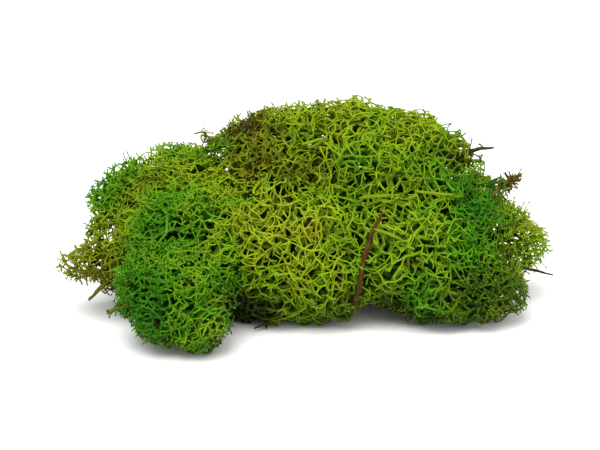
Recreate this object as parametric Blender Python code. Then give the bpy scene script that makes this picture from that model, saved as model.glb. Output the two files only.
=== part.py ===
"""Clump of dried reindeer moss: tangled tufts of a branching lichen, with a few bits of dead twig.

Each tuft is one solid that reaches the tips of its branches. The tufts rest on the plane z = 0
and lie against one another with a small gap. The twigs sit in sockets cut from the tufts.
Lengths below are in millimetres and become metres where meshes are made.
+X is the clump's long way, -Y its front and +Z up.
"""

import math
from dataclasses import dataclass

import bmesh
import bpy
from mathutils import Vector, noise

MM = 0.001
GAP = 0.35
FLOOR_CLEARANCE = 2.0
RING_SIDES = 20
RING_COUNT = 12
LUMP_SIZE = 0.14
LUMP_PITCH = 2.3
LUMP_SHIFT = Vector((7.3, 3.1, 0))
BLEND_SHARPNESS = 14.0
ROUGHNESS = 0.8
MERGE_DISTANCE = 1e-6

LIME = (0.42, 0.47, 0.05, 1.0)
LEAF_GREEN = (0.13, 0.36, 0.03, 1.0)
OLIVE = (0.24, 0.23, 0.04, 1.0)
BARK_BROWN = (0.16, 0.07, 0.03, 1.0)
DEAD_WOOD = (0.06, 0.05, 0.03, 1.0)


@dataclass(frozen=True)
class Lobe:
    """An ellipsoid, placed from its tuft's heart. It must hold the heart."""

    offset: tuple
    radii: tuple


@dataclass(frozen=True)
class Tuft:
    """A cushion of moss: the smooth union of lobes round one heart."""

    name: str
    heart: tuple
    lobes: tuple
    colour: tuple
    seed: float


@dataclass(frozen=True)
class Twig:
    """A bit of dead wood along hand-set points, each (x, y, z, radius)."""

    name: str
    points: tuple
    colour: tuple


# The first tufts are whole, and each later one is cut where it meets those before it.
TUFTS = (
    Tuft(
        "front_left_tuft",
        (-36, -29, 14),
        (
            Lobe((-1, 0, 3), (16, 15, 15)),
            Lobe((5, -3, -4), (12, 12, 11)),
            Lobe((3, 5, 7), (14, 12, 12)),
        ),
        LEAF_GREEN,
        1.0,
    ),
    Tuft(
        "centre_tuft",
        (-3, -8, 20),
        (
            Lobe((0, 0, 0), (22, 16, 20)),
            Lobe((7, -3, -6), (16, 13, 14.5)),
            Lobe((-6, -1, 4), (18, 14, 17)),
        ),
        LIME,
        2.0,
    ),
    Tuft(
        "right_front_tuft",
        (31, -8, 19),
        (
            Lobe((0, 0, 3), (17, 15, 19)),
            Lobe((2, -2, -4), (15, 13, 12.5)),
        ),
        LIME,
        3.0,
    ),
    Tuft(
        "right_end_tuft",
        (51, -8, 11),
        (
            Lobe((1, 0, 0), (15, 14, 12)),
            Lobe((-8, -4, -2), (12, 12, 10)),
        ),
        OLIVE,
        4.0,
    ),
    Tuft(
        "mid_left_tuft",
        (-36, -14, 32),
        (
            Lobe((0, 0, 0), (15, 13, 11)),
            Lobe((4, 2, -2), (13, 12, 12)),
        ),
        LEAF_GREEN,
        5.0,
    ),
    Tuft(
        "right_flank_tuft",
        (50, 2, 31),
        (
            Lobe((0, 0, 0), (12, 14, 13)),
            Lobe((-4, -2, -2), (11, 13, 12)),
        ),
        LEAF_GREEN,
        6.0,
    ),
    Tuft(
        "right_fringe_tuft",
        (60, 12, 20),
        (
            Lobe((1, 0, 0), (15.5, 14, 11)),
            Lobe((-4, 1, -6), (12, 14, 15)),
        ),
        OLIVE,
        7.0,
    ),
    Tuft(
        "left_wing_tuft",
        (-51, -2, 18),
        (
            Lobe((0, 0, 0), (15, 14, 10)),
            Lobe((-8, -1, -2), (14, 10, 6)),
            Lobe((6, 2, 2), (12, 13, 12)),
        ),
        OLIVE,
        8.0,
    ),
    Tuft(
        "left_shoulder_tuft",
        (-42, 8, 34),
        (
            Lobe((-2, 0, -1), (20, 15, 12)),
            Lobe((8, 2, 3), (15, 15, 12)),
            Lobe((-6, 1, -7), (14, 14, 13)),
        ),
        LEAF_GREEN,
        9.0,
    ),
    Tuft(
        "crown_left_tuft",
        (-9, 12, 40),
        (
            Lobe((0, 0, 0), (19, 22, 19)),
            Lobe((5, -3, 3), (15, 18, 17)),
        ),
        OLIVE,
        10.0,
    ),
    Tuft(
        "crown_right_tuft",
        (25, 12, 38),
        (
            Lobe((1, 0, 0), (28.5, 24, 22)),
            Lobe((-9, 0, 2), (19, 20, 22.5)),
        ),
        LIME,
        11.0,
    ),
    Tuft(
        "back_left_tuft",
        (-34, 27, 17),
        (
            Lobe((0, 0, 0), (25, 18, 18)),
            Lobe((8, 0, 3), (20, 17, 19)),
        ),
        LEAF_GREEN,
        12.0,
    ),
    Tuft(
        "back_right_tuft",
        (20, 30, 17),
        (
            Lobe((0, 0, 0), (30, 18, 18)),
            Lobe((12, -2, 2), (22, 17, 18)),
        ),
        OLIVE,
        13.0,
    ),
    Tuft(
        "under_front_tuft",
        (-19, -3, 7),
        (
            Lobe((0, 0, 0), (13, 9, 8)),
            Lobe((5, 1, 2), (11, 10, 9)),
        ),
        OLIVE,
        14.0,
    ),
)

TWIGS = (
    Twig(
        "front_twig",
        (
            (23.9, -16.6, 36.6, 0.50),
            (21.0, -20.0, 32.0, 0.80),
            (19.5, -20.7, 27.6, 1.00),
            (18.2, -20.6, 21.8, 1.00),
            (17.4, -20.2, 16.0, 0.95),
            (16.4, -19.4, 10.8, 0.90),
            (15.4, -17.6, 5.5, 0.70),
        ),
        BARK_BROWN,
    ),
    Twig(
        "right_needle",
        (
            (60.0, -6.5, 17.4, 0.42),
            (64.0, -7.6, 16.8, 0.45),
            (68.0, -8.6, 16.2, 0.42),
            (72.0, -9.5, 15.5, 0.32),
            (75.4, -10.2, 14.9, 0.15),
        ),
        DEAD_WOOD,
    ),
    Twig(
        "upper_right_twig",
        (
            (44.0, 3.0, 46.6, 0.60),
            (48.5, 2.4, 48.4, 0.62),
            (51.2, 3.4, 49.5, 0.55),
            (54.7, 3.7, 50.0, 0.40),
            (58.0, 3.5, 50.3, 0.18),
        ),
        DEAD_WOOD,
    ),
    Twig(
        "right_sprig",
        (
            (56.5, -2.0, 37.0, 0.60),
            (59.5, -1.6, 39.2, 0.65),
            (62.2, -1.0, 41.0, 0.60),
            (64.6, -0.5, 43.2, 0.30),
        ),
        DEAD_WOOD,
    ),
    Twig(
        "top_left_curl",
        (
            (-25.0, 6.0, 50.4, 0.40),
            (-27.0, 5.8, 52.6, 0.42),
            (-28.4, 6.2, 54.2, 0.38),
            (-30.0, 6.6, 54.4, 0.32),
            (-31.6, 6.8, 53.8, 0.20),
        ),
        DEAD_WOOD,
    ),
    Twig(
        "left_hanging_stem",
        (
            (-54.0, -11.4, 16.6, 0.65),
            (-57.4, -12.6, 13.2, 0.68),
            (-60.2, -12.0, 10.4, 0.52),
            (-62.6, -11.5, 7.6, 0.30),
        ),
        BARK_BROWN,
    ),
    Twig(
        "left_stub",
        (
            (-48.4, -33.4, 14.6, 0.55),
            (-51.0, -34.8, 13.9, 0.60),
            (-53.0, -35.0, 13.2, 0.75),
            (-54.6, -35.0, 12.6, 0.95),
        ),
        BARK_BROWN,
    ),
    Twig(
        "bottom_sprig",
        (
            (-4.5, -11.6, 4.6, 0.50),
            (-7.2, -14.8, 2.7, 0.52),
            (-10.3, -17.2, 2.3, 0.45),
            (-13.4, -18.0, 1.0, 0.30),
        ),
        DEAD_WOOD,
    ),
)


def collection_named(name):
    """A new collection in the scene."""
    made = bpy.data.collections.new(name)
    bpy.context.scene.collection.children.link(made)
    return made


def finish_of(name, colour):
    """A plain matt material of that colour."""
    made = bpy.data.materials.get(name) or bpy.data.materials.new(name)
    made.use_nodes = True
    shader = made.node_tree.nodes["Principled BSDF"]
    shader.inputs["Base Color"].default_value = colour
    shader.inputs["Roughness"].default_value = ROUGHNESS
    return made


def reach(lobe, direction):
    """How far the lobe's surface is from the tuft's heart that way."""
    offset, radii = lobe.offset, lobe.radii
    a = sum((d / r) ** 2 for d, r in zip(direction, radii))
    b = sum(d * o / r**2 for d, o, r in zip(direction, offset, radii))
    c = sum((o / r) ** 2 for o, r in zip(offset, radii)) - 1
    return (b + math.sqrt(b * b - a * c)) / a


def tuft_radius(tuft, direction):
    """The blended reach of all lobes, with low lumps on it."""
    reaches = [reach(lobe, direction) for lobe in tuft.lobes]
    widest = max(reaches)
    total = sum(math.exp(BLEND_SHARPNESS * (r / widest - 1)) for r in reaches)
    blended = widest * (1 + math.log(total) / BLEND_SHARPNESS)
    place = direction * LUMP_PITCH + tuft.seed * LUMP_SHIFT
    return blended * (1 + LUMP_SIZE * noise.noise(place))


def tuft_mesh(tuft, name, grow, floor):
    """The tuft's closed mesh, grown by that much all round and cut flat at the floor."""
    shape = bmesh.new()
    bmesh.ops.create_uvsphere(shape, u_segments=RING_SIDES, v_segments=RING_COUNT, radius=1)
    for vertex in shape.verts:
        direction = vertex.co.normalized()
        vertex.co = (Vector(tuft.heart) + direction * (tuft_radius(tuft, direction) + grow)) * MM
    cut = bmesh.ops.bisect_plane(
        shape,
        geom=shape.verts[:] + shape.edges[:] + shape.faces[:],
        plane_co=(0, 0, floor * MM),
        plane_no=(0, 0, -1),
        clear_outer=True,
    )
    rim = [e for e in cut["geom_cut"] if isinstance(e, bmesh.types.BMEdge)]
    if rim:
        bmesh.ops.contextual_create(shape, geom=rim)
    bmesh.ops.triangulate(shape, faces=shape.faces[:], quad_method="FIXED")
    bmesh.ops.recalc_face_normals(shape, faces=shape.faces[:])
    mesh = bpy.data.meshes.new(name)
    shape.to_mesh(mesh)
    shape.free()
    return mesh


def tuft_object(tuft, collection):
    """The tuft as a node, smooth where its sides are round."""
    mesh = tuft_mesh(tuft, tuft.name, 0.0, 0.0)
    mesh.shade_smooth()
    mesh.materials.append(finish_of(tuft.name + "_moss", tuft.colour))
    made = bpy.data.objects.new(tuft.name, mesh)
    collection.objects.link(made)
    return made


def as_cutter(obj, collection):
    """Marks an object as a tool that the model leaves out."""
    obj.hide_render = True
    obj.display_type = "WIRE"
    collection.objects.link(obj)
    return obj


def boxes_meet(first, second):
    """True if the boxes round two objects overlap."""
    corners = [[obj.matrix_world @ Vector(c) for c in obj.bound_box] for obj in (first, second)]
    return all(
        min(p[axis] for p in corners[0]) < max(p[axis] for p in corners[1])
        and min(p[axis] for p in corners[1]) < max(p[axis] for p in corners[0])
        for axis in range(3)
    )


def cut_away(obj, cutter):
    """Cuts the cutter out of the object. EXACT empties some tufts, where several cuts meet."""
    modifier = obj.modifiers.new("clear_of_" + cutter.name, "BOOLEAN")
    modifier.operation = "DIFFERENCE"
    modifier.solver = "MANIFOLD"
    modifier.object = cutter


def twig_curve(name, points, grow):
    """A round bar along the points, thicker or thinner from point to point."""
    curve = bpy.data.curves.new(name, "CURVE")
    curve.dimensions = "3D"
    curve.bevel_depth = MM
    curve.bevel_resolution = 1
    curve.use_fill_caps = True
    spline = curve.splines.new("POLY")
    spline.points.add(len(points) - 1)
    for point, (x, y, z, radius) in zip(spline.points, points):
        point.co = (x * MM, y * MM, z * MM, 1)
        point.radius = radius + grow
    return bpy.data.objects.new(name, curve)


def twig_cutter(twig, collection):
    """The twig's socket: the twig grown by the gap, as a closed mesh."""
    thick = twig_curve(twig.name + "_socket", twig.points, GAP)
    collection.objects.link(thick)
    bpy.context.view_layer.update()
    graph = bpy.context.evaluated_depsgraph_get()
    mesh = bpy.data.meshes.new_from_object(thick.evaluated_get(graph))
    shape = bmesh.new()
    shape.from_mesh(mesh)
    bmesh.ops.remove_doubles(shape, verts=shape.verts[:], dist=MERGE_DISTANCE)
    bmesh.ops.recalc_face_normals(shape, faces=shape.faces[:])
    shape.to_mesh(mesh)
    shape.free()
    solid = bpy.data.objects.new(twig.name + "_socket_cutter", mesh)
    solid.matrix_world = thick.matrix_world
    bpy.data.objects.remove(thick)
    return as_cutter(solid, collection)


def stand_at_origin(nodes, others):
    """Moves everything so that the nodes' common box stands on z = 0 and is centred on the z axis."""
    bpy.context.view_layer.update()
    graph = bpy.context.evaluated_depsgraph_get()
    points = []
    for node in nodes:
        solid = node.evaluated_get(graph)
        points += [solid.matrix_world @ vertex.co for vertex in solid.to_mesh().vertices]
        solid.to_mesh_clear()
    low = Vector([min(point[axis] for point in points) for axis in range(3)])
    high = Vector([max(point[axis] for point in points) for axis in range(3)])
    middle = (low + high) / 2
    for obj in [*nodes, *others]:
        obj.location -= Vector((middle.x, middle.y, low.z))


def main():
    """Builds the tufts front to back, then the twigs and their sockets."""
    for obj in list(bpy.data.objects):
        bpy.data.objects.remove(obj)
    clump = collection_named("reindeer_moss_clump")
    cutters = collection_named("cutters")
    tufts = [tuft_object(tuft, clump) for tuft in TUFTS]
    tools = [
        as_cutter(
            bpy.data.objects.new(
                tuft.name + "_cutter",
                tuft_mesh(tuft, tuft.name + "_cutter", GAP, -FLOOR_CLEARANCE),
            ),
            cutters,
        )
        for tuft in TUFTS
    ]
    bpy.context.view_layer.update()
    for later, obj in enumerate(tufts):
        for cutter in tools[:later]:
            if boxes_meet(obj, cutter):
                cut_away(obj, cutter)
    for twig in TWIGS:
        bar = twig_curve(twig.name, twig.points, 0.0)
        bar.data.materials.append(finish_of(twig.name + "_bark", twig.colour))
        clump.objects.link(bar)
        socket = twig_cutter(twig, cutters)
        bpy.context.view_layer.update()
        for obj in tufts:
            if boxes_meet(obj, socket):
                cut_away(obj, socket)
    stand_at_origin(clump.objects, cutters.objects)


if __name__ == "__main__":
    main()
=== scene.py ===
"""Looks of a clump of dried, dyed reindeer moss: its branches and twigs, their finishes, the floor,
the light and the camera.

Each tuft is grown inside its own solid of the frame, from the skin inwards. Tips are spread over
the skin, neighbouring tips join in forks, and forks join in thicker stems down to the tuft's heart.
Sizes are in millimetres, and become metres where a mesh is made.
"""

import logging
import math
from dataclasses import dataclass, field
from enum import Enum

import bpy
import numpy as np
from bpy.types import ID, Material, Mesh, Node, NodeSocket, NodeTree, Object
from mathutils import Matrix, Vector, noise
from mathutils.bvhtree import BVHTree
from mathutils.kdtree import KDTree


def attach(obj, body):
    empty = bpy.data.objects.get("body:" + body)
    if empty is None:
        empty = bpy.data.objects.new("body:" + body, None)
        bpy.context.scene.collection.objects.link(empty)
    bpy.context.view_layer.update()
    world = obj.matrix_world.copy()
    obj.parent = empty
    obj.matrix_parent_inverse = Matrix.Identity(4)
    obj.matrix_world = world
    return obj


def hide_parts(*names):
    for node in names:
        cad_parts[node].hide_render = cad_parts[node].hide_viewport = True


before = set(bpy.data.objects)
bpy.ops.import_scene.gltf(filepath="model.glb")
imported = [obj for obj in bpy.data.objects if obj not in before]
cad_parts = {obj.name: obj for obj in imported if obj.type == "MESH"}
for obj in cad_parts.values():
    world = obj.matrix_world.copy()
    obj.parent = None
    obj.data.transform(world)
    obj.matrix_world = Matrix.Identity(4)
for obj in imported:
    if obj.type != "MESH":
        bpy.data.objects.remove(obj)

Array = np.ndarray
Rng = np.random.Generator
Place = tuple[float, float, float]
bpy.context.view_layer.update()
MM = 0.001
BODY = "root"
UV_MAP = "OFBake"
NOISE_SEED = 5

log = logging.getLogger("moss_clump")


def linear(hex_colour: str) -> tuple[float, float, float, float]:
    """Turns an sRGB hex colour into linear light.

    Args:
        hex_colour: Six hex digits after a hash sign.

    Returns:
        Linear red, green, blue, and an alpha of 1.
    """
    values = [int(hex_colour[start : start + 2], 16) / 255 for start in (1, 3, 5)]
    lit = [v / 12.92 if v <= 0.04045 else ((v + 0.055) / 1.055) ** 2.4 for v in values]
    return (*lit, 1.0)


def feed(tree: NodeTree, node: Node, inputs: dict) -> None:
    """Links a node's inputs to the outputs given, or sets them to the values given.

    Args:
        tree: The node tree.
        node: The node.
        inputs: Socket names or numbers, each with a value or the output that feeds it.
    """
    for name, value in inputs.items():
        if isinstance(value, NodeSocket):
            tree.links.new(value, node.inputs[name])
        else:
            node.inputs[name].default_value = value


def add_node(tree: NodeTree, kind: str, inputs: dict | None = None, stops: tuple = (), **settings) -> Node:
    """Adds one node with its settings and links.

    Args:
        tree: The node tree that it joins.
        kind: Blender's name for the node's type, after ShaderNode.
        inputs: What feeds it.
        stops: For a ramp, its places and hex colours.
        settings: The node's own properties.

    Returns:
        The node.
    """
    node = tree.nodes.new("ShaderNode" + kind)
    for name, value in settings.items():
        setattr(node, name, value)
    feed(tree, node, inputs or {})
    for number, (place, colour) in enumerate(stops):
        ramp = node.color_ramp.elements
        stop = ramp[number] if number < 2 else ramp.new(place)
        stop.position = place
        stop.color = linear(colour)
    return node


def new_material(name: str) -> tuple[Material, NodeTree, Node]:
    """A new material, its node tree and its shader."""
    made = bpy.data.materials.new(name)
    made.use_nodes = True
    return made, made.node_tree, made.node_tree.nodes["Principled BSDF"]


def raise_relief(
    tree: NodeTree, pattern: NodeSocket, rough: tuple[float, float], strength: float, height: float
) -> dict:
    """Lets a pattern raise a surface and vary its roughness.

    Args:
        tree: The node tree.
        pattern: The pattern, from 0 to 1.
        rough: Roughness at 0 and at 1.
        strength: How much of the relief shows.
        height: The relief's height in millimetres.

    Returns:
        What feeds the shader.
    """
    uneven = add_node(tree, "MapRange", {0: pattern, 3: rough[0], 4: rough[1]})
    relief = {"Height": pattern, "Strength": strength, "Distance": height * MM}
    raised = add_node(tree, "Bump", relief)
    return {"Roughness": uneven.outputs[0], "Normal": raised.outputs[0]}


def new_object(name: str, data: ID) -> Object:
    """A new object in the scene."""
    made = bpy.data.objects.new(name, data)
    bpy.context.scene.collection.objects.link(made)
    return made


def unit(vectors: Array) -> Array:
    """The vectors at length one."""
    return vectors / np.maximum(np.linalg.norm(vectors, axis=-1, keepdims=True), 1e-9)


def random_units(rng: Rng, shape: tuple[int, ...]) -> Array:
    """Unit vectors that point every way, in an array of that shape."""
    return unit(rng.normal(size=(*shape, 3)))


@dataclass(frozen=True)
class DyeAndShadePatch:
    """A patch of one dye. 0 is dead and undyed, 0.25 olive, 0.5 lime, 0.75 leaf green, 1 emerald.

    Its light is painted light and shade: 1 where the branches are fully lit, less where they lie in
    shade under the clump near the floor and in hollows, and less too where they are darker in tone.
    """

    centre: Place
    reach: float
    dye: float
    light: float = 0.9


DYE_AND_SHADE_PATCHES = tuple(
    DyeAndShadePatch(*row)
    for row in (
        # The ball at the front left, and the tuft above it.
        ((-49, -38, 16), 11, 0.92, 0.56), ((-48, -34, 28), 6, 0.74, 0.55),
        ((-23, -32, 15), 5, 0.70, 0.12), ((-30, -40, 18), 9, 0.70, 0.68),
        ((-34, -42, 8), 7, 0.64, 0.66), ((-44, -36, 3), 7, 0.85, 0.40),
        ((-42, -18, 34), 9, 0.80, 0.64), ((-25, -12, 42), 6, 0.57, 0.74),
        ((-29, -17, 36), 5, 0.74, 0.30), ((-25, -22, 24), 6, 0.80, 0.50),
        # The left shoulder and the wing under it.
        ((-60, 3, 38), 10, 0.80, 0.55), ((-43, 8, 48), 9, 0.60, 0.70),
        ((-48, -4, 38), 7, 0.34, 0.38), ((-31, 1, 43), 6, 0.50, 0.75),
        ((-27, 2, 50), 6, 0.74, 0.42), ((-62, -8, 18), 14, 0.34, 0.60),
        # The middle.
        ((-8, -26, 28), 16, 0.48, 0.95), ((-6, -28, 6), 7, 0.52, 0.45),
        # Light at 0.1 or less paints shade in the hollow beside the ball and under the middle by the floor.
        ((-23, -26, 18), 7, 0.72, 0.42), ((-19, -27, 6), 11, 0.55, -0.1),
        ((-24, -32, 5), 5, 0.70, 0.0), ((-20, -14, 6), 9, 0.55, -0.1),
        ((28, -24, 30), 14, 0.58, 0.68), ((22, -23, 29), 5, 0.46, 0.35),
        ((15, -23, 10), 5, 0.52, 0.28), ((24, -24, 2), 8, 0.55, 0.0),
        ((13, -22, 2), 5, 0.55, 0.1), ((36, -24, 1), 6, 0.65, 0.0),
        ((33, -25, 12), 6, 0.80, 0.66), ((38, -16, 32), 7, 0.68, 0.80),
        # The band and the end on the right.
        ((50, -12, 37), 8, 0.88, 0.45), ((50, -14, 25), 8, 0.84, 0.65),
        ((50, -22, 12), 12, 0.60, 0.22), ((62, -14, 8), 8, 0.54, 0.22),
        ((66, 6, 20), 12, 0.52, 0.80), ((57, -8, 18), 6, 0.55, 0.22),
        # The crown.
        ((-21, 5, 56), 7, 0.18, 0.16), ((-16, -2, 48), 9, 0.29, 0.50),
        ((-2, 0, 55), 9, 0.44, 0.62), ((-8, 0, 57), 4, 0.40, 0.20),
        ((-2, -8, 46), 7, 0.44, 0.42), ((9, -13, 45), 6, 0.52, 0.40),
        ((15, -8, 50), 5, 0.80, 0.80), ((26, -2, 58), 12, 0.51, 0.64),
        ((24, -12, 46), 8, 0.52, 0.52), ((33, -9, 49), 6, 0.70, 0.48),
        ((47, 0, 51), 8, 0.52, 0.32),
        # The back.
        ((-36, 36, 24), 20, 0.62, 0.80), ((0, 38, 26), 16, 0.44, 0.85),
        ((34, 38, 20), 18, 0.56, 0.80), ((10, 26, 56), 14, 0.48, 0.90),
    )
)


@dataclass(frozen=True)
class DyedLichenWithPaintedShade:
    """Reindeer lichen, kept supple with glycerine and soaked in dye.

    The colour stays bright on the tips and turns dark and brownish down between the stems, partly as
    the older stems are darker and partly as painted shade. Loose threads of fungus make the branches
    felty: pale along their edges, and never shiny. The real felt is 0.01 mm fine, too fine to show, so
    it is drawn at felt_grain and felt_height, in mm.
    """

    dyes: tuple = (0.0, 0.25, 0.5, 0.75, 1.0)
    # Colours of each dye on the tips, the branches and the stems: lit and shaded copies, the darker ones
    # partly painted shade.
    tips: tuple = ("#664f14", "#827a10", "#899412", "#628a08", "#2f7904")
    branches: tuple = ("#46350a", "#686804", "#729003", "#478001", "#1f6701")
    stems: tuple = ("#120d01", "#1a1b01", "#1d2701", "#122501", "#071d01")
    roughness: float = 0.8
    uneven: float = 0.12
    gloss: float = 0.15
    ior: float = 1.45
    felt_grain: float = 0.4
    felt_height: float = 0.08
    fuzz: float = 0.03
    fuzz_spread: float = 0.4
    fuzz_colour: str = "#dce6aa"

    def material(self, name: str) -> Material:
        """Makes the finish.

        Args:
            name: The material's name.

        Returns:
            A material coloured by the map: across it from the stems' painted shade to the tips' painted
            light, up it from dye to dye.
        """
        made, tree, shader = new_material(name)
        place = add_node(tree, "UVMap", uv_map=UV_MAP)
        along = add_node(tree, "SeparateXYZ", {0: place.outputs["UV"]})
        dye = along.outputs["Y"]
        ramps = [
            add_node(tree, "ValToRGB", {0: dye}, tuple(zip(self.dyes, colours)))
            for colours in (self.stems, self.branches, self.tips)
        ]
        colour = ramps[0].outputs["Color"]
        # The map's light, which is painted light and shade, blends from the stems' colours to the tips'.
        for low, high, ramp in ((0.0, 0.55, ramps[1]), (0.55, 1.0, ramps[2])):
            share = add_node(tree, "MapRange", {0: along.outputs["X"], 1: low, 2: high})
            mixed = add_node(
                tree, "Mix", {0: share.outputs[0], 6: colour, 7: ramp.outputs["Color"]}, data_type="RGBA",
            )
            colour = mixed.outputs[2]
        where = add_node(tree, "TexCoord")
        felt = add_node(
            tree, "TexNoise",
            {0: where.outputs["Object"], "Scale": 1 / (self.felt_grain * MM), "Detail": 2.0},
        )
        rough = (self.roughness - self.uneven, self.roughness + self.uneven)
        feed(tree, shader, raise_relief(tree, felt.outputs[0], rough, 0.6, self.felt_height))
        felty = {
            "Base Color": colour, "IOR": self.ior, "Specular IOR Level": self.gloss,
            "Sheen Weight": self.fuzz, "Sheen Roughness": self.fuzz_spread,
            "Sheen Tint": linear(self.fuzz_colour),
        }
        feed(tree, shader, felty)
        return made


@dataclass(frozen=True)
class WeatheredBark:
    """Bark of a dead twig, dried and weathered on the ground.

    It split in furrows about 5 mm long and 1 mm wide, so the eye sees a matt surface with fine
    dark lines along the twig and paler ridges between them. streaks counts the furrows over the
    whole map, on which a 35 mm twig is 1 across, and one side of its girth 0.006 up.
    """

    furrow: str
    ridge: str
    fleck: str
    roughness: float = 0.85
    uneven: float = 0.1
    gloss: float = 0.15
    streaks: tuple = (7.0, 110.0, 1.0)
    furrow_depth: float = 0.12

    def material(self, name: str) -> Material:
        """Makes the finish.

        Args:
            name: The material's name.

        Returns:
            A material streaked along the twig.
        """
        made, tree, shader = new_material(name)
        place = add_node(tree, "UVMap", uv_map=UV_MAP)
        stretched = add_node(tree, "Mapping", {0: place.outputs["UV"], 3: self.streaks})
        streaks = add_node(
            tree, "TexNoise", {0: stretched.outputs[0], "Scale": 1.0, "Detail": 4.0, "Roughness": 0.6},
        )
        colours = add_node(
            tree, "ValToRGB", {0: streaks.outputs[0]},
            ((0.35, self.furrow), (0.55, self.ridge), (0.72, self.fleck)),
        )
        rough = (self.roughness + self.uneven, self.roughness - self.uneven)
        feed(tree, shader, raise_relief(tree, streaks.outputs[0], rough, 0.8, self.furrow_depth))
        matt = {"Base Color": colours.outputs["Color"], "Specular IOR Level": self.gloss}
        feed(tree, shader, matt)
        return made


BARKS = {
    "brown_bark": WeatheredBark("#1a1002", "#412c05", "#604410"),
    "dead_stem": WeatheredBark("#2a2006", "#5a5010", "#8a8a2a"),
    "dark_twig": WeatheredBark("#140f05", "#30240c", "#4c4220"),
}


@dataclass
class Strands:
    """Round strands with as many rings and sides each, ready for a mesh.

    Attributes:
        path: Ring centres, as strands by rings by 3.
        radius: Ring radii, as strands by rings.
        light: Place across the map at each ring, 0 at a stem and 1 at a tip.
        dye: Place up the map, one for each strand.
        sides: Sides of each strand.
        pointed: Whether they end in a point, or open where a fork covers the end.
    """

    path: Array
    radius: Array
    light: Array
    dye: Array
    sides: int = 3
    pointed: bool = False

    SIDE_STEP = 0.006
    RING_STEP = 0.012

    def points(self, rng: Rng) -> Array:
        """Ring points, and the end points.

        Args:
            rng: Turns each strand about its line.

        Returns:
            The points, as strands by points by 3.
        """
        ahead = unit(np.gradient(self.path, axis=1))
        chord = self.path[:, -1] - self.path[:, 0]
        side = np.cross(chord, random_units(rng, (len(chord),)))[:, None, :]
        across = unit(side - (side * ahead).sum(-1, keepdims=True) * ahead)
        over = np.cross(ahead, across)
        turn = np.arange(self.sides) * 2 * math.pi / self.sides
        ring = (across[:, :, None, :] * np.cos(turn)[:, None] + over[:, :, None, :] * np.sin(turn)[:, None])
        made = self.path[:, :, None, :] + ring * self.radius[:, :, None, None]
        count = len(self.path)
        if not self.pointed:
            return made.reshape(count, -1, 3)
        return np.concatenate([made[:, :-1].reshape(count, -1, 3), self.path[:, -1:]], axis=1)

    def faces(self) -> list[Array]:
        """Quads along a strand, and triangles that close its end, by point number."""
        rings, sides = self.path.shape[1] - self.pointed, self.sides
        row = np.arange(rings - 1)[:, None] * sides
        here = np.arange(sides)[None, :]
        after = (here + 1) % sides
        quads = np.stack([row + here, row + after, row + sides + after, row + sides + here], -1)
        if not self.pointed:
            return [quads.reshape(-1, 4)]
        last = (rings - 1) * sides
        close = np.stack([last + here[0], last + after[0], np.full(sides, rings * sides)], -1)
        if rings == 1:
            return [close]
        return [quads.reshape(-1, 4), close]

    def map_places(self) -> list[Array]:
        """Places on the map for the corners of the faces, strand by strand."""
        rings, sides = self.path.shape[1] - self.pointed, self.sides
        light = np.clip(self.light[:, :rings], 0.0, 0.97) * (1 - rings * self.RING_STEP)
        light = light + np.arange(rings) * self.RING_STEP
        dye = np.clip(self.dye, 0.01, 0.96)[:, None] + np.arange(sides + 1) * self.SIDE_STEP
        count = len(light)
        quads = np.empty((count, rings - 1, sides, 4, 2))
        corners = ((0, 0), (0, 1), (1, 1), (1, 0))
        for corner, (up, over) in enumerate(corners):
            quads[..., corner, 0] = light[:, up : up + rings - 1, None]
            quads[..., corner, 1] = dye[:, None, over : over + sides]
        close = np.empty((count, sides, 3, 2))
        close[..., 0] = light[:, -1, None, None]
        close[:, :, 2, 0] += self.RING_STEP
        close[:, :, 0, 1] = dye[:, :-1]
        close[:, :, 1, 1] = dye[:, 1:]
        close[:, :, 2, 1] = (dye[:, :-1] + dye[:, 1:]) / 2
        if rings == 1:
            return [close.reshape(-1, 2)]
        return [quads.reshape(-1, 2), close.reshape(-1, 2)]


def mesh_of(name: str, batches: list[Strands], rng: Rng) -> Mesh:
    """Joins strands in one smooth mesh.

    Args:
        name: The mesh's name.
        batches: The strands.
        rng: Passed on to the strands.

    Returns:
        The mesh, in metres, with the finish's map on it.
    """
    points, corners, starts, places = [], [], [], []
    point_count, corner_count = 0, 0
    for batch in batches:
        batch_points = batch.points(rng)
        count, per_strand = batch_points.shape[:2]
        points.append(batch_points.reshape(-1, 3))
        offset = point_count + np.arange(count)[:, None, None] * per_strand
        for faces, face_places in zip(batch.faces(), batch.map_places()):
            numbers = (offset + faces[None]).reshape(-1)
            width = faces.shape[1]
            corners.append(numbers)
            starts.append(corner_count + np.arange(0, len(numbers), width))
            corner_count += len(numbers)
            places.append(face_places)
        point_count += count * per_strand
    all_points, all_corners = np.concatenate(points), np.concatenate(corners)
    all_starts, all_places = np.concatenate(starts), np.concatenate(places)
    mesh = bpy.data.meshes.new(name)
    mesh.vertices.add(len(all_points))
    mesh.vertices.foreach_set("co", (all_points * MM).astype(np.float32).ravel())
    mesh.loops.add(len(all_corners))
    mesh.loops.foreach_set("vertex_index", all_corners.astype(np.int32))
    mesh.polygons.add(len(all_starts))
    mesh.polygons.foreach_set("loop_start", all_starts.astype(np.int32))
    mesh.update(calc_edges=True)
    layer = mesh.uv_layers.new(name=UV_MAP)
    layer.data.foreach_set("uv", all_places.astype(np.float32).ravel())
    mesh.shade_smooth()
    return mesh


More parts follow.
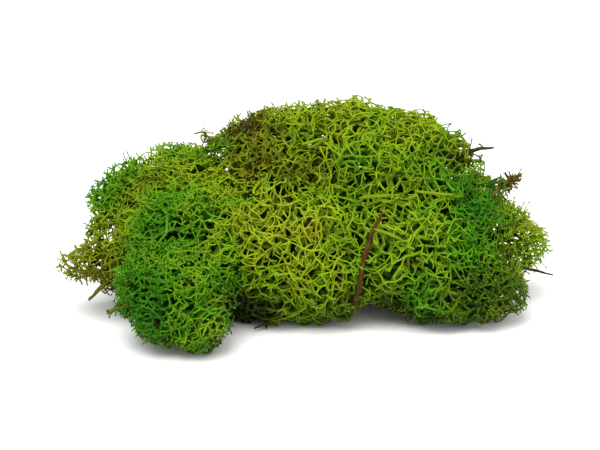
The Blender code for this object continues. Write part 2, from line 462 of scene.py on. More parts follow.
@dataclass
class Skin:
    """The closed surface of a CAD node."""

    node: str
    points: Array = field(init=False)
    triangles: Array = field(init=False)
    tree: BVHTree = field(init=False)

    def __post_init__(self) -> None:
        """Reads the node's triangles."""
        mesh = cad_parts[self.node].data
        mesh.calc_loop_triangles()
        points = np.empty(len(mesh.vertices) * 3)
        mesh.vertices.foreach_get("co", points)
        self.points = points.reshape(-1, 3) / MM
        triangles = np.empty(len(mesh.loop_triangles) * 3, np.int32)
        mesh.loop_triangles.foreach_get("vertices", triangles)
        self.triangles = triangles.reshape(-1, 3)
        self.tree = BVHTree.FromPolygons(self.points.tolist(), self.triangles.tolist())

    def scatter(self, rng: Rng, density: float) -> tuple[Array, Array]:
        """Spreads points over the skin at random.

        Args:
            rng: Picks the places.
            density: Points for each square millimetre.

        Returns:
            The points and the skin's outward normals there.
        """
        corner = self.points[self.triangles]
        cross = np.cross(corner[:, 1] - corner[:, 0], corner[:, 2] - corner[:, 0])
        area = np.linalg.norm(cross, axis=1) / 2
        count = int(area.sum() * density)
        picked = rng.choice(len(area), count, p=area / area.sum())
        share = np.sort(rng.random((count, 2)), axis=1)
        weights = np.stack([share[:, 0], share[:, 1] - share[:, 0], 1 - share[:, 1]], 1)
        places = (corner[picked] * weights[:, :, None]).sum(1)
        return places, unit(cross[picked])

    def depth(self, place: Array) -> float:
        """How far inside the skin a place is, less than 0 outside it."""
        nearest, normal, _, distance = self.tree.find_nearest(Vector(place))
        outward = (Vector(place) - nearest).dot(normal)
        return -distance if outward > 0 else distance


@dataclass
class Clump:
    """Every tuft's skin, and what each place can see of the open air."""

    skins: dict[str, Skin]
    tree: BVHTree = field(init=False)
    looks: list[Vector] = field(init=False)

    LOOKS = 20
    SIGHT = 16.0
    GOLDEN = 2.399963

    def __post_init__(self) -> None:
        """Joins the skins, and spreads the directions to look in evenly over a ball."""
        points, triangles, offset = [], [], 0
        for skin in self.skins.values():
            points += skin.points.tolist()
            triangles += (skin.triangles + offset).tolist()
            offset += len(skin.points)
        self.tree = BVHTree.FromPolygons(points, triangles)
        self.looks = []
        for number in range(self.LOOKS):
            z = 1 - (2 * number + 1) / self.LOOKS
            flat = math.sqrt(1 - z * z)
            turn = number * self.GOLDEN
            self.looks.append(Vector((flat * math.cos(turn), flat * math.sin(turn), z)))

    def open_air(self, places: Array, outward: Array) -> tuple[Array, Array]:
        """Finds how open each place is.

        Args:
            places: Places on the skins.
            outward: The skins' normals there.

        Returns:
            The share of directions that are free, and the mean free direction.
        """
        shares, ways = np.zeros(len(places)), np.array(outward)
        for number, place in enumerate(places):
            start = Vector(place + outward[number] * 0.1)
            free = [look for look in self.looks if self.tree.ray_cast(start, look, self.SIGHT)[0] is None]
            shares[number] = len(free) / self.LOOKS
            if free:
                ways[number] = sum(free, Vector())
        return shares, unit(unit(ways) + 0.6 * outward)


def thinned(places: Array, spacing: float) -> Array:
    """Keeps places that are at least that far apart.

    Args:
        places: Places in random order.
        spacing: The least distance.

    Returns:
        The numbers of the places kept.
    """
    cells: dict[tuple[int, int, int], list[Array]] = {}
    near = [(i, j, k) for i in (-1, 0, 1) for j in (-1, 0, 1) for k in (-1, 0, 1)]
    kept = []
    limit = spacing * spacing
    for number, (x, y, z) in enumerate(places.tolist()):
        cell = (int(x // spacing), int(y // spacing), int(z // spacing))
        clear = all(
            (a - x) ** 2 + (b - y) ** 2 + (c - z) ** 2 >= limit
            for i, j, k in near
            for a, b, c in cells.get((cell[0] + i, cell[1] + j, cell[2] + k), ())
        )
        if clear:
            cells.setdefault(cell, []).append((x, y, z))
            kept.append(number)
    return np.array(kept, int)


@dataclass(frozen=True)
class Growth:
    """How a kind of tuft branches.

    Attributes:
        levels: Depth, spacing and branch radius of each level of forks, tips first.
        spike: Length of the spikes that a branch ends in.
        spikes: Spikes of a tip, the last often missing.
        ragged: How far the skin wanders in and out.
        bend: How much branches bend, as a share of their length.
        linked: Share of the tips, then of the forks, linked with a neighbour.
        crossed: Share of the outermost forks linked crosswise too.
    """

    levels: tuple[Place, ...]
    spike: float
    spikes: int
    ragged: float
    bend: float
    linked: tuple[float, float]
    crossed: float


class Habit(Enum):
    """Kinds of tuft."""

    NET = Growth(
        (
            (0.0, 1.7, 0.23), (0.9, 2.3, 0.30), (1.9, 2.1, 0.40), (3.6, 2.5, 0.62),
            (6.2, 3.1, 0.85), (9.5, 4.5, 1.20), (15.0, 7.0, 1.30),
        ),
        spike=0.8, spikes=3, ragged=1.5, bend=0.3, linked=(0.4, 1.0), crossed=1.0,
    )
    CUSHION = Growth(
        (
            (0.0, 1.2, 0.18), (1.0, 1.75, 0.24), (2.3, 2.2, 0.37), (4.0, 2.5, 0.58),
            (6.5, 3.1, 0.85), (10.0, 4.5, 1.15), (15.5, 7.0, 1.20),
        ),
        spike=0.8, spikes=3, ragged=1.5, bend=0.28, linked=(0.15, 1.0), crossed=0.6,
    )
    OPEN = Growth(
        ((0.0, 1.35, 0.18), (1.2, 1.9, 0.24), (2.8, 2.4, 0.32), (5.0, 3.2, 0.50), (8.0, 4.4, 0.70)),
        spike=0.95, spikes=4, ragged=2.0, bend=0.32, linked=(0.0, 0.9), crossed=0.3,
    )


@dataclass(frozen=True)
class BareStem:
    """A thick branch that lies bare over its tuft."""

    start: Place
    bend: Place
    end: Place
    radius: float
    dye: float


@dataclass(frozen=True)
class Hollow:
    """A ball in which branches died back, so that the dark between the stems shows."""

    centre: Place
    reach: float


@dataclass(frozen=True)
class Swell:
    """A place where branches grew longer than around it, or shorter if the height is below 0."""

    centre: Place
    reach: float
    height: float


@dataclass
class Forks:
    """One level of a tuft's forks, or its tips.

    Attributes:
        depth: How deep under the skin they lie.
        radius: Radius of the branches that arrive.
        places: Where the forks are.
        outward: Directions out to the open air.
        run: Directions in which links run through them.
        parents: Numbers of the deeper forks that they grow from.
        heading: Directions in which branches arrive.
        dye: Dye of those branches.
        light: How fresh and light they are.
    """

    depth: float
    radius: float
    places: Array
    outward: Array
    run: Array
    parents: Array | None = None
    heading: Array | None = None
    dye: Array | None = None
    light: Array | None = None


def tree_of(places: Array) -> KDTree:
    """Sorts places so that the nearest can be found."""
    tree = KDTree(len(places))
    for number, place in enumerate(places):
        tree.insert(place, number)
    tree.balance()
    return tree


def curved(start: Array, end: Array, leave: Array, arrive: Array, rings: int) -> Array:
    """Smooth curves between places.

    Args:
        start: Where they start.
        end: Where they end.
        leave: Directions at the start.
        arrive: Directions at the end.
        rings: Points on each.

    Returns:
        The points, as curves by rings by 3.
    """
    length = np.linalg.norm(end - start, axis=1)[:, None, None]
    t = np.linspace(0, 1, rings)[None, :, None]
    return (
        (2 * t**3 - 3 * t**2 + 1) * start[:, None]
        + (t**3 - 2 * t**2 + t) * leave[:, None] * length
        + (3 * t**2 - 2 * t**3) * end[:, None]
        + (t**3 - t**2) * arrive[:, None] * length
    )


@dataclass
class MossTuft:
    """One tuft: a tree of branches that fills its solid.

    Attributes:
        node: The CAD node that it stands for.
        slot: The record's material slot.
        habit: How it branches.
        stems: Thick branches that lie bare over it.
        seed: Seed of everything random in it.
    """

    node: str
    slot: str
    habit: Habit
    stems: tuple[BareStem, ...] = ()
    seed: int = 0

    # Places tried for each one kept, and the share of open air that a tip needs.
    OVERSAMPLING = 5.0
    LEAST_OPEN = 0.06
    # The skin's waves, as size and height, and the clefts between its heads.
    WAVES = ((13.0, 1.1), (6.0, 1.0), (2.6, 0.6))
    HEAD_SIZE = 10.0
    CLEFT = 2.4
    CLEFT_WIDTH = 0.10
    INSET_SPREAD = (0.7, 1.3)
    # Below LOW branches stay short. In creases they grow further out.
    LOW = 7.0
    LOW_SHORT = 1.8
    CREASE_OPEN = 0.45
    CREASE_FILL = 15.0
    FLOOR = 0.25
    # Deeper forks fill creases less, and move towards a skin that another tuft hides.
    HIDDEN_FROM = 3.0
    DEEP_FILL = 0.5
    DEEP_SHIFT = 0.3
    BURIED = 8.0
    HOLLOW_TAPER = 0.7
    # The side that rests on the floor has fewer branches.
    RESTING = 1.5
    RESTING_DOWN = -0.6
    RESTING_SHARE = 0.5
    # A few tips stray out further than their neighbours.
    STRAYS = 0.05
    STRAY_OPEN = 0.42
    STRAY_LENGTH = (0.6, 2.2)
    # The dye drifts and fades over PATCHINESS. Painted light fades with depth, gone at twice SHADE_DEPTH.
    PATCHINESS = 6.0
    DYE_DRIFT = 0.22
    FADE = 0.55
    SHADE_DEPTH = 7.0
    DRIFT = 14.0
    # Rings of the branches of each level, thickness along links and bare stems, and side spikes.
    RINGS = (3, 4, 5, 5, 4)
    WAIST = (1.25, 0.85, 0.85, 1.25)
    STEM_LUMPS = (0.55, 0.9, 1.05, 1.0, 0.85, 0.95, 1.0, 0.85, 0.5)
    SPURS = 1
    STEM_SPURS = 5
    SPIKE_LEAN = (0.4, 1.1)

    def raggedness(self, places: Array) -> Array:
        """How far the skin is pushed out at each place, in millimetres."""
        growth = self.habit.value
        waves = [
            sum(height * noise.noise(Vector(place) / size) for size, height in self.WAVES)
            for place in places
        ]
        folds = np.array([noise.noise(Vector(place) / self.HEAD_SIZE) for place in places])
        cleft = self.CLEFT * np.exp(-((folds / self.CLEFT_WIDTH) ** 2))
        out = np.array(waves) * growth.ragged - cleft
        for swell in SWELLS:
            away = np.linalg.norm(places - np.array(swell.centre), axis=1) / swell.reach
            out += swell.height * np.exp(-(away**2))
        return out

    def level(self, skin: Skin, clump: Clump, number: int, rng: Rng) -> Forks:
        """Spreads one level of forks at its depth under the skin.

        Args:
            skin: The tuft's skin.
            clump: All the skins.
            number: The level's number, 0 for the tips.
            rng: Picks the places.

        Returns:
            The forks.
        """
        growth = self.habit.value
        depth, spacing, radius = growth.levels[number]
        places, outward = skin.scatter(rng, self.OVERSAMPLING / spacing**2)
        skin_places = places
        if depth:
            inset = depth * rng.uniform(*self.INSET_SPREAD, len(places)) - self.raggedness(places)
            places = places - outward * inset[:, None]
        kept = thinned(places, spacing)
        places, outward, skin_places = places[kept], outward[kept], skin_places[kept]
        resting = (skin_places[:, 2] < self.RESTING) & (outward[:, 2] < self.RESTING_DOWN)
        fit = ~resting | (rng.random(len(places)) < self.RESTING_SHARE)
        if depth > self.HIDDEN_FROM:
            least = 0.6 * depth - 0.5 * growth.ragged
            fit = [skin.depth(place) > least for place in places]
        places, outward, skin_places = places[fit], outward[fit], skin_places[fit]
        if depth < self.BURIED:
            free, ways = clump.open_air(skin_places, outward)
            hidden = free <= self.LEAST_OPEN
            push = self.CREASE_FILL * np.maximum(self.CREASE_OPEN - free, 0) * ~hidden
            push *= np.clip((places[:, 2] + 6 * ways[:, 2]) / 10, 0, 1)
            if depth == 0:
                push += self.raggedness(places)
                push -= self.LOW_SHORT * np.clip(1 - places[:, 2] / self.LOW, 0, 1)
                strays = (rng.random(len(places)) < self.STRAYS) & (free > self.STRAY_OPEN)
                push += strays * rng.uniform(*self.STRAY_LENGTH, len(places))
            if depth > self.HIDDEN_FROM:
                push *= self.DEEP_FILL
                places[hidden] += self.DEEP_SHIFT * (skin_places[hidden] - places[hidden])
                hidden[:] = False
            places = (places + ways * push[:, None])[~hidden]
            outward = ways[~hidden]
            again = thinned(places, 0.7 * spacing)
            places, outward = places[again], outward[again]
        for hollow in HOLLOWS:
            away = np.linalg.norm(places - np.array(hollow.centre), axis=1)
            left = away > hollow.reach - self.HOLLOW_TAPER * depth
            places, outward = places[left], outward[left]
        places[:, 2] = np.maximum(places[:, 2], self.FLOOR + radius)
        drift = [noise.noise_vector(Vector(place) / self.DRIFT) for place in places]
        run = np.array(drift).reshape(-1, 3) + 0.15 * random_units(rng, (len(places),))
        run = unit(run - (run * outward).sum(1, keepdims=True) * outward)
        return Forks(depth, radius, places, outward, run)

    def join(self, outer: Forks, inner: Forks, rng: Rng) -> None:
        """Gives each outer fork its parent among the inner ones.

        Args:
            outer: The outer level.
            inner: The next level in.
            rng: Varies the choice a little.
        """
        tree = tree_of(inner.places)
        parents = np.zeros(len(outer.places), int)
        for number, place in enumerate(outer.places):
            outward = Vector(outer.outward[number])
            best, least = 0, 1e9
            for found, index, distance in tree.find_n(place, 5):
                climb = (Vector(place) - found).normalized().dot(outward)
                cost = distance * (1.35 - 0.35 * climb) * rng.uniform(0.9, 1.1)
                if cost < least:
                    best, least = index, cost
            parents[number] = best
        outer.parents = parents

    def dye_and_shade_at(self, places: Array, rng: Rng) -> tuple[Array, Array]:
        """Blends the dye patches and the painted light and shade that they carry, with drifts and chance
        differences.

        Args:
            places: Where branches end.
            rng: Varies the dye.

        Returns:
            The dye and the painted light at each place.
        """
        total, weight = np.zeros((2, len(places))), np.full(len(places), 1e-9)
        for patch in DYE_AND_SHADE_PATCHES:
            away = np.linalg.norm(places - np.array(patch.centre), axis=1) / patch.reach
            share = 1 / (0.05 + away**4)
            total += share * np.array([[patch.dye], [patch.light]])
            weight += share
        dye, light = total / weight
        shift = Vector((0, 0, 40))
        drift = [noise.noise(Vector(p) / self.PATCHINESS + shift) for p in places]
        fade = [noise.noise(Vector(p) / self.PATCHINESS - shift) for p in places]
        dye += self.DYE_DRIFT * np.array(drift) + rng.normal(0, 0.03, len(places))
        return dye, light * (1 + self.FADE * np.array(fade))

    def light_at(self, depth: Array, light: Array, outward: Array, rng: Rng) -> Array:
        """Place across the finish's map for strands, which paints light and shade: darker deeper in and
        where the branches face down.

        Args:
            depth: Depth of each of their rings.
            light: Light of the dye patches where the strands end.
            outward: Directions out to the open air there.
            rng: Varies them.

        Returns:
            The places, as strands by rings.
        """
        # Painted shade: branches that face down get a darker colour, down to half.
        base = light * np.clip(0.86 + 0.24 * outward[:, 2], 0.5, 1.0)
        chance = rng.normal(0, 0.09, (len(light), 1))
        # Painted shade deeper in: the light falls off with depth, and is gone at twice SHADE_DEPTH.
        return base[:, None] * np.exp(-((depth / self.SHADE_DEPTH) ** 2))[None] + chance

    def branches(self, outer: Forks, inner: Forks, number: int, rng: Rng) -> Strands:
        """Curved branches from each parent to its fork.

        Args:
            outer: The forks that the branches reach.
            inner: The forks that they grow from.
            number: The outer level's number.
            rng: Bends them.

        Returns:
            The branches.
        """
        growth = self.habit.value
        start = inner.places[outer.parents]
        ahead = unit(outer.places - start)
        swerve = growth.bend * rng.normal(size=ahead.shape)
        leave = unit(0.7 * inner.heading[outer.parents] + 0.5 * ahead + swerve)
        swerve = growth.bend * rng.normal(size=ahead.shape)
        arrive = unit(0.62 * ahead + 0.38 * outer.outward + swerve)
        outer.heading = arrive
        rings = self.RINGS[min(number, 4)]
        path = curved(start, outer.places, leave, arrive, rings)
        path[..., 2] = np.maximum(path[..., 2], self.FLOOR)
        swell = 1 + 0.5 * (1 - np.linspace(0, 1, rings)) ** 3
        radius = outer.radius * swell * rng.uniform(0.8, 1.25, (len(start), 1))
        depth = np.linspace(inner.depth, outer.depth, rings)
        outer.dye, outer.light = self.dye_and_shade_at(outer.places, rng)
        light = self.light_at(depth, outer.light, outer.outward, rng)
        return Strands(path, radius, light, outer.dye, sides=4 if number in (2, 3) else 3)

    def links(self, forks: Forks, runs: Array, share: float, rng: Rng) -> Strands:
        """Branches that join a fork to a neighbour on its own level.

        Args:
            forks: The level.
            runs: Directions in which the links run through the forks.
            share: Share of the forks that start a link.
            rng: Picks which forks are joined.

        Returns:
            The links.
        """
        tree = tree_of(forks.places)
        pairs = {}
        for index in np.nonzero(rng.random(len(forks.places)) < share)[0].tolist():
            run = Vector(runs[index])
            best, least = index, 1e9
            for found, other, distance in tree.find_n(forks.places[index], 9)[1:]:
                along = (found - Vector(forks.places[index])).normalized().dot(run)
                cost = distance * (1.7 - along)
                if cost < least:
                    best, least = other, cost
            pairs[min(index, best), max(index, best)] = index < best
        first, second = np.array(sorted(pairs), int).reshape(-1, 2).T
        forward = np.array([pairs[pair] for pair in sorted(pairs)])
        first, second = np.where(forward, first, second), np.where(forward, second, first)
        start, end = forks.places[first], forks.places[second]
        ahead = unit(end - start)
        lift = rng.normal(0.1, 0.4, (len(start), 1)) * forks.outward[first]
        swerve = 1.3 * self.habit.value.bend * rng.normal(size=ahead.shape)
        leave = unit(0.5 * ahead + 0.7 * runs[first] + lift + swerve)
        arrive = unit(0.5 * ahead + 0.7 * runs[second] - lift - swerve)
        path = curved(start, end, leave, arrive, 4)
        path[..., 2] = np.maximum(path[..., 2], self.FLOOR)
        waist = np.array(self.WAIST) * forks.radius
        radius = waist * rng.uniform(0.8, 1.15, (len(start), 1))
        depth = np.full(4, forks.depth)
        light = self.light_at(depth, forks.light[first], forks.outward[first], rng)
        return Strands(path, radius, light, forks.dye[first])

    def bare_stem(self, stem: BareStem) -> Strands:
        """One thick branch over the tuft, forked at neither end."""
        start, bend, end = np.array([stem.start, stem.bend, stem.end])[:, None]
        path = curved(start, end, unit(bend - start), unit(end - bend), 9)
        radius = stem.radius * np.array(self.STEM_LUMPS)
        light = 0.36 + 0.06 * np.sin(np.arange(9) * 2.0)
        return Strands(path, radius[None], light[None], np.array([stem.dye]), 6, pointed=True)

    def spikes(self, forks: Forks, count: int, rng: Rng) -> list[Strands]:
        """The short spikes that branches end in.

        Args:
            forks: Where they grow.
            count: How many grow at each fork. The last is missing from some.
            rng: Spreads the spikes.

        Returns:
            The spikes, in one batch for each spike of a fork.
        """
        growth = self.habit.value
        batches = []
        many = len(forks.dye)
        side = unit(np.cross(forks.heading, random_units(rng, (many,))))
        over = np.cross(forks.heading, side)
        light = self.light_at(np.full(2, forks.depth), forks.light, forks.outward, rng) + 0.05
        for number in range(count):
            some = rng.random(many) < (1.0 if number < count - 1 else 0.6)
            angle = number * 6.28 / count + rng.uniform(-0.5, 0.5, (many, 1))
            lean = rng.uniform(*self.SPIKE_LEAN, (many, 1))
            out = unit(forks.heading + lean * (np.cos(angle) * side + np.sin(angle) * over))
            length = growth.spike * rng.uniform(0.5, 1.4, (many, 1))
            end = forks.places + out * length
            end[:, 2] = np.maximum(end[:, 2], self.FLOOR)
            path = np.stack([forks.places - 0.2 * out, end], 1)[some]
            radius = np.full((len(path), 2), 1.15 * growth.levels[0][2])
            batches.append(Strands(path, radius, light[some], forks.dye[some], 3, pointed=True))
        return batches

    def spurs(self, strands: Strands, count: int, rng: Rng) -> list[Strands]:
        """Short side spikes along strands.

        Args:
            strands: The strands.
            count: Spurs on each.
            rng: Spreads the spurs.

        Returns:
            The spurs, in one batch for each spur of a strand.
        """
        growth = self.habit.value
        batches = []
        many = len(strands.path)
        rows = np.arange(many)
        for _ in range(count):
            ring = rng.integers(1, strands.path.shape[1] - 1, many)
            share = rng.random((many, 1))
            after = strands.path[rows, ring + 1]
            base = strands.path[rows, ring] * (1 - share) + after * share
            ahead = unit(after - strands.path[rows, ring])
            out = unit(ahead + random_units(rng, (many,)))
            end = base + out * growth.spike * rng.uniform(0.5, 1.3, (many, 1))
            end[:, 2] = np.maximum(end[:, 2], self.FLOOR)
            radius = np.repeat(strands.radius[rows, ring][:, None] * 0.7, 2, axis=1)
            light = np.repeat(strands.light[rows, ring][:, None] + 0.05, 2, axis=1)
            path = np.stack([base, end], 1)
            batches.append(Strands(path, radius, light, strands.dye, 3, pointed=True))
        return batches

    def grow(self, clump: Clump) -> Object:
        """Grows the tuft.

        Args:
            clump: Every tuft's skin.

        Returns:
            The tuft, as one mesh object.
        """
        rng = np.random.default_rng(self.seed)
        growth = self.habit.value
        skin = clump.skins[self.node]
        levels = [self.level(skin, clump, n, rng) for n in range(len(growth.levels))]
        levels = [forks for forks in levels if len(forks.places)]
        middle = skin.points.mean(0)
        deepest, _, radius = growth.levels[-1]
        up = np.array([[0.0, 0.0, 1.0]])
        heart = Forks(deepest * 1.4, radius, middle[None], up, up, heading=up)
        levels.append(heart)
        batches = []
        for number in range(len(levels) - 2, -1, -1):
            outer, inner = levels[number], levels[number + 1]
            self.join(outer, inner, rng)
            batches.append(self.branches(outer, inner, number, rng))
            if number in (1, 2):
                batches += self.spurs(batches[-1], self.SPURS, rng)
            share = growth.linked[min(number, 1)]
            if share and len(outer.places) > 4:
                batches.append(self.links(outer, outer.run, share, rng))
                if number < 2:
                    batches += self.spurs(batches[-1], self.SPURS, rng)
                if number == 1:
                    across = np.cross(outer.outward, outer.run)
                    batches.append(self.links(outer, across, growth.crossed, rng))
        for stem in self.stems:
            batches.append(self.bare_stem(stem))
            batches += self.spurs(batches[-1], self.STEM_SPURS, rng)
        batches += self.spikes(levels[0], growth.spikes, rng)
        return new_object(self.node + "_branches", mesh_of(self.node, batches, rng))

    def build(self, clump: Clump, finish: DyedLichenWithPaintedShade) -> None:
        """Grows the tuft, dresses it and puts it in the frame.

        Args:
            clump: Every tuft's skin.
            finish: The finish.
        """
        made = self.grow(clump)
        made.data.materials.append(finish.material(self.slot + "_dyed_lichen_painted_shade"))
        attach(made, BODY)
        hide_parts(self.node)
        triangles = sum(len(polygon.vertices) - 2 for polygon in made.data.polygons)
        log.info("%s: %d triangles", made.name, triangles)


@dataclass
class DeadTwig:
    """A dead twig or stem, crooked and furrowed along the bar that the frame holds for it.

    Attributes:
        node: The CAD node that it stands for.
        slot: The record's material slot.
        shoots: Side shoots that it bears.
        seed: Seed of its bends, lumps and side shoots.
        girth: Its mean thickness as a share of the bar's.
    """

    node: str
    slot: str
    shoots: int = 0
    seed: int = 0
    girth: float = 0.85

    SIDES = 12
    RING_GAP = 0.6
    RING_STEP = 0.3
    WANDER = 0.25
    WANDER_SIZE = 2.2
    LUMP = 0.3
    LUMP_SIZE = 1.6
    SHOOT_LENGTH = (1.2, 3.4)
    SHOOT_RADIUS = 0.4
    PRONG_LENGTH = (0.7, 1.4)

    def centre_line(self) -> tuple[Array, Array]:
        """Reads the bar's line and radii from its rings of points.

        Returns:
            The ring centres, and the radius at each.
        """
        points = np.unique(np.round(Skin(self.node).points, 3), axis=0)
        middle = points.mean(0)
        axis = np.linalg.svd(points - middle, full_matrices=False)[2][0]
        along = (points - middle) @ axis
        order = np.argsort(along)
        gaps = np.nonzero(np.diff(along[order]) > self.RING_GAP)[0] + 1
        rings = [points[group] for group in np.split(order, gaps)]
        centres = np.array([ring.mean(0) for ring in rings])
        radii = [np.linalg.norm(r - c, axis=1).max() for r, c in zip(rings, centres)]
        return centres, np.array(radii)

    def side_shoots(self, path: Array, radius: Array, rng: Rng) -> list[Strands]:
        """Short dead shoots that leave the twig at forks.

        Args:
            path: The twig's ring centres.
            radius: Its radii.
            rng: Spreads the shoots.

        Returns:
            The shoots and the prongs that they end in.
        """
        if not self.shoots:
            return []
        ahead = unit(np.gradient(path, axis=0))
        at = rng.integers(len(path) // 4, len(path) - 1, self.shoots)
        out = unit(0.6 * ahead[at] + random_units(rng, (self.shoots,)))
        end = path[at] + out * rng.uniform(*self.SHOOT_LENGTH, (self.shoots, 1))
        turned = unit(out + 0.5 * random_units(rng, (self.shoots,)))
        thick = np.minimum(radius[at], self.SHOOT_RADIUS)[:, None]
        tone = rng.uniform(0.05, 0.9, (self.shoots, 1))
        stems = Strands(
            curved(path[at], end, out, turned, 4), thick * np.array([1.0, 0.8, 0.7, 0.6]), np.tile(tone, 4),
            np.full(self.shoots, 0.3),
        )
        made = [stems]
        for _ in range(3):
            way = unit(turned + 0.8 * random_units(rng, (self.shoots,)))
            way = way * rng.uniform(*self.PRONG_LENGTH, (self.shoots, 1))
            prong = np.stack([end, end + way], 1)
            light = np.tile(tone, 2)
            dye = np.full(self.shoots, 0.5)
            made.append(Strands(prong, thick * np.array([0.7, 0.7]), light, dye, 3, pointed=True))
        return made

    def build(self, finish: WeatheredBark) -> None:
        """Builds the twig, dresses it and puts it in the frame.

        Args:
            finish: The finish.
        """
        rng = np.random.default_rng(self.seed)
        centres, radii = self.centre_line()
        knots = np.concatenate([[0], np.cumsum(np.linalg.norm(np.diff(centres, axis=0), axis=1))])
        count = int(knots[-1] / self.RING_STEP) + 2
        place = np.linspace(0, knots[-1], count)
        path = np.stack([np.interp(place, knots, centres[:, axis]) for axis in range(3)], 1)
        radius = np.interp(place, knots, radii)
        for _ in range(6):
            path[1:-1] = (path[:-2] + 2 * path[1:-1] + path[2:]) / 4
        wander = [noise.noise_vector(Vector((p / self.WANDER_SIZE, self.seed * 5.0, 0.0))) for p in place]
        path += np.array(wander) * self.WANDER
        lumps = [noise.noise(Vector((p / self.LUMP_SIZE, self.seed * 3.0, 9.0))) for p in place]
        radius = radius * (self.girth + self.LUMP * np.array(lumps))
        light = np.linspace(0.02, 0.95, count)[None]
        strand = Strands(path[None], radius[None], light, np.array([0.3]), self.SIDES, pointed=True)
        mesh = mesh_of(self.node, [strand, *self.side_shoots(path, radius, rng)], rng)
        made = new_object(self.node + "_bark", mesh)
        made.data.materials.append(finish.material(self.slot + "_weathered_bark"))
        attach(made, BODY)
        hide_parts(self.node)
        log.info("%s: %d faces", made.name, len(mesh.polygons))


@dataclass(frozen=True)
class Studio:
    """A pale floor, soft light and the camera. Sizes in millimetres, angles in degrees.

    Each softbox has its place, its side and its power in watts.
    """

    floor_side: float = 6000.0
    floor_colour: str = "#e8e8e6"
    room_light: float = 0.95
    key: tuple = ((-150, -350, 800), 700, 11.5)
    fill: tuple = ((500, -400, 300), 400, 1.6)
    camera_away: float = 500.0
    camera_height: float = 18.0
    lens: float = 100.0
    aim: Place = (-2.3, -2.3, 27.2)

    def lay_floor(self) -> None:
        """Lays the floor under the clump."""
        half = self.floor_side / 2 * MM
        mesh = bpy.data.meshes.new("floor")
        corners = [(-half, -half, 0), (half, -half, 0), (half, half, 0), (-half, half, 0)]
        mesh.from_pydata(corners, [], [(0, 1, 2, 3)])
        board, tree, shader = new_material("pale_matt_board")
        feed(tree, shader, {"Base Color": linear(self.floor_colour), "Roughness": 0.9})
        mesh.materials.append(board)
        new_object("floor", mesh)

    def add_softbox(self, name: str, place: Place, side: float, watts: float) -> None:
        """Adds a square soft light that faces the clump.

        Args:
            name: The light's name.
            place: Where it hangs, from the clump's foot.
            side: Its side.
            watts: Its power.
        """
        light = bpy.data.lights.new(name, "AREA")
        light.size = side * MM
        light.energy = watts
        made = new_object(name, light)
        made.location = Vector(place) * MM
        aim = Vector(self.aim) * MM - made.location
        made.rotation_euler = aim.to_track_quat("-Z", "Y").to_euler()

    def light(self) -> None:
        """Lights the clump from all round, most from above."""
        world = bpy.data.worlds.new("white_room")
        bpy.context.scene.world = world
        world.use_nodes = True
        tree = world.node_tree
        white = {"Color": (1, 1, 1, 1), "Strength": self.room_light}
        feed(tree, tree.nodes["Background"], white)
        self.add_softbox("key_softbox", *self.key)
        self.add_softbox("fill_softbox", *self.fill)
        bpy.context.scene.view_settings.view_transform = "Standard"

    def set_camera(self) -> None:
        """Puts the camera low in front of the clump."""
        camera = bpy.data.cameras.new("camera")
        camera.lens = self.lens
        camera.clip_start = 0.01
        made = new_object("camera", camera)
        height = math.radians(self.camera_height)
        back = Vector((0, -math.cos(height), math.sin(height)))
        made.location = (Vector(self.aim) + back * self.camera_away) * MM
        made.rotation_euler = (-back).to_track_quat("-Z", "Y").to_euler()
        bpy.context.scene.camera = made


HOLLOWS = tuple(
    Hollow(*row)
    for row in (
        ((-20, -28, 4), 8.5), ((-15.5, -29, 4), 6.5), ((-24, -27, 13), 4.5), ((-24, -22, 27), 3.5),
        ((-28, -20, 34), 3.0), ((-27, -24, 38), 3.0), ((-29, -44, 24), 3.0), ((-29, -42, 28), 3.0),
        ((-31, -45, 16), 3.2), ((-37, -45, 9), 2.6), ((8, -16, 43), 3.0), ((18, -16, 43), 3.0),
        ((36, -16, 42), 2.5), ((-16, 1, 56), 2.2), ((-8, -2, 56), 1.8), ((0, -6, 52), 1.8),
        ((2, -11, 46), 2.4), ((23, -25, 20), 3.5), ((22, -24, 29), 3.2), ((30, -24, 22), 3.5),
        ((20, -26, 5), 6.0), ((30, -27, 2), 5.0),
    )
)

SWELLS = tuple(
    Swell(*row)
    for row in (
        ((1, 4, 59), 7, 5.5), ((43, -12, 23), 6, 3.0), ((16, 2, 66), 8, -1.5),
        ((38, 4, 60), 8, -3.2), ((53, 0, 46), 5, -2.5), ((47, 0, 52), 6, 4.5),
        ((-64, 3, 41), 7, 3.0), ((-66, 0, 33), 4, -1.5), ((-50, 8, 48), 8, 1.5),
        ((58, -6, 42), 6, -2.0), ((72, 6, 28), 8, -2.5), ((70, 8, 15), 6, 3.0),
        ((62, -14, 4), 6, 2.5), ((-66, -10, 30), 6, -1.5), ((-74, -10, 17), 6, 3.5),
        ((-28, 2, 56), 5, -1.5), ((-20, -14, 2), 8, 3.0),
    )
)

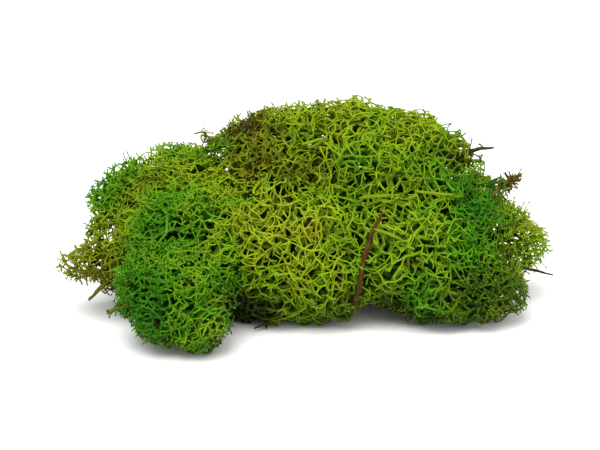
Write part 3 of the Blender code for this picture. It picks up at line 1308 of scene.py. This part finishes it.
BARE_STEMS = {
    "right_front": (
        BareStem((19, -22.5, 32.5), (23, -24, 32), (28, -22, 28.5), 0.5, 0.46),
        BareStem((28, -22, 29), (29.5, -23.5, 24), (29, -20.5, 17), 0.45, 0.28),
    ),
    "crown_right": (
        BareStem((15, -15, 39.5), (20, -18, 41.5), (28, -14.5, 40), 0.6, 0.42),
        BareStem((31, -14.5, 41.5), (38, -16.5, 41), (46, -10.5, 39), 0.5, 0.48),
    ),
}

TUFTS = tuple(
    MossTuft(name + "_tuft", "moss_" + name, habit, BARE_STEMS.get(name, ()), seed)
    for seed, (name, habit) in enumerate(
        (
            ("front_left", Habit.CUSHION), ("centre", Habit.NET), ("right_front", Habit.NET),
            ("right_end", Habit.CUSHION), ("mid_left", Habit.CUSHION), ("right_flank", Habit.CUSHION),
            ("right_fringe", Habit.OPEN), ("left_wing", Habit.OPEN), ("left_shoulder", Habit.CUSHION),
            ("crown_left", Habit.CUSHION), ("crown_right", Habit.NET), ("back_left", Habit.CUSHION),
            ("back_right", Habit.NET), ("under_front", Habit.CUSHION),
        ),
        start=1,
    )
)

TWIGS = (
    DeadTwig("front_twig", "brown_bark", seed=21, girth=0.78),
    DeadTwig("right_needle", "dark_twig", seed=22, girth=1.1),
    DeadTwig("upper_right_twig", "dark_twig", shoots=3, seed=23, girth=1.15),
    DeadTwig("right_sprig", "dead_stem", shoots=60, seed=24),
    DeadTwig("top_left_curl", "dead_stem", shoots=9, seed=25),
    DeadTwig("left_hanging_stem", "dead_stem", shoots=5, seed=26, girth=1.1),
    DeadTwig("left_stub", "dead_stem", seed=27), DeadTwig("bottom_sprig", "dark_twig", shoots=4, seed=28),
)


def main() -> None:
    """Grows and dresses the clump, then sets the floor, the light and the camera."""
    logging.basicConfig(level=logging.INFO, format="%(message)s")
    # Without a seed, the noise starts from the clock and no two runs grow the same clump.
    noise.seed_set(NOISE_SEED)
    clump = Clump({tuft.node: Skin(tuft.node) for tuft in TUFTS})
    lichen = DyedLichenWithPaintedShade()
    for tuft in TUFTS:
        tuft.build(clump, lichen)
    for twig in TWIGS:
        twig.build(BARKS[twig.slot])
    studio = Studio()
    studio.lay_floor()
    studio.light()
    studio.set_camera()


if __name__ == "__main__":
    main()
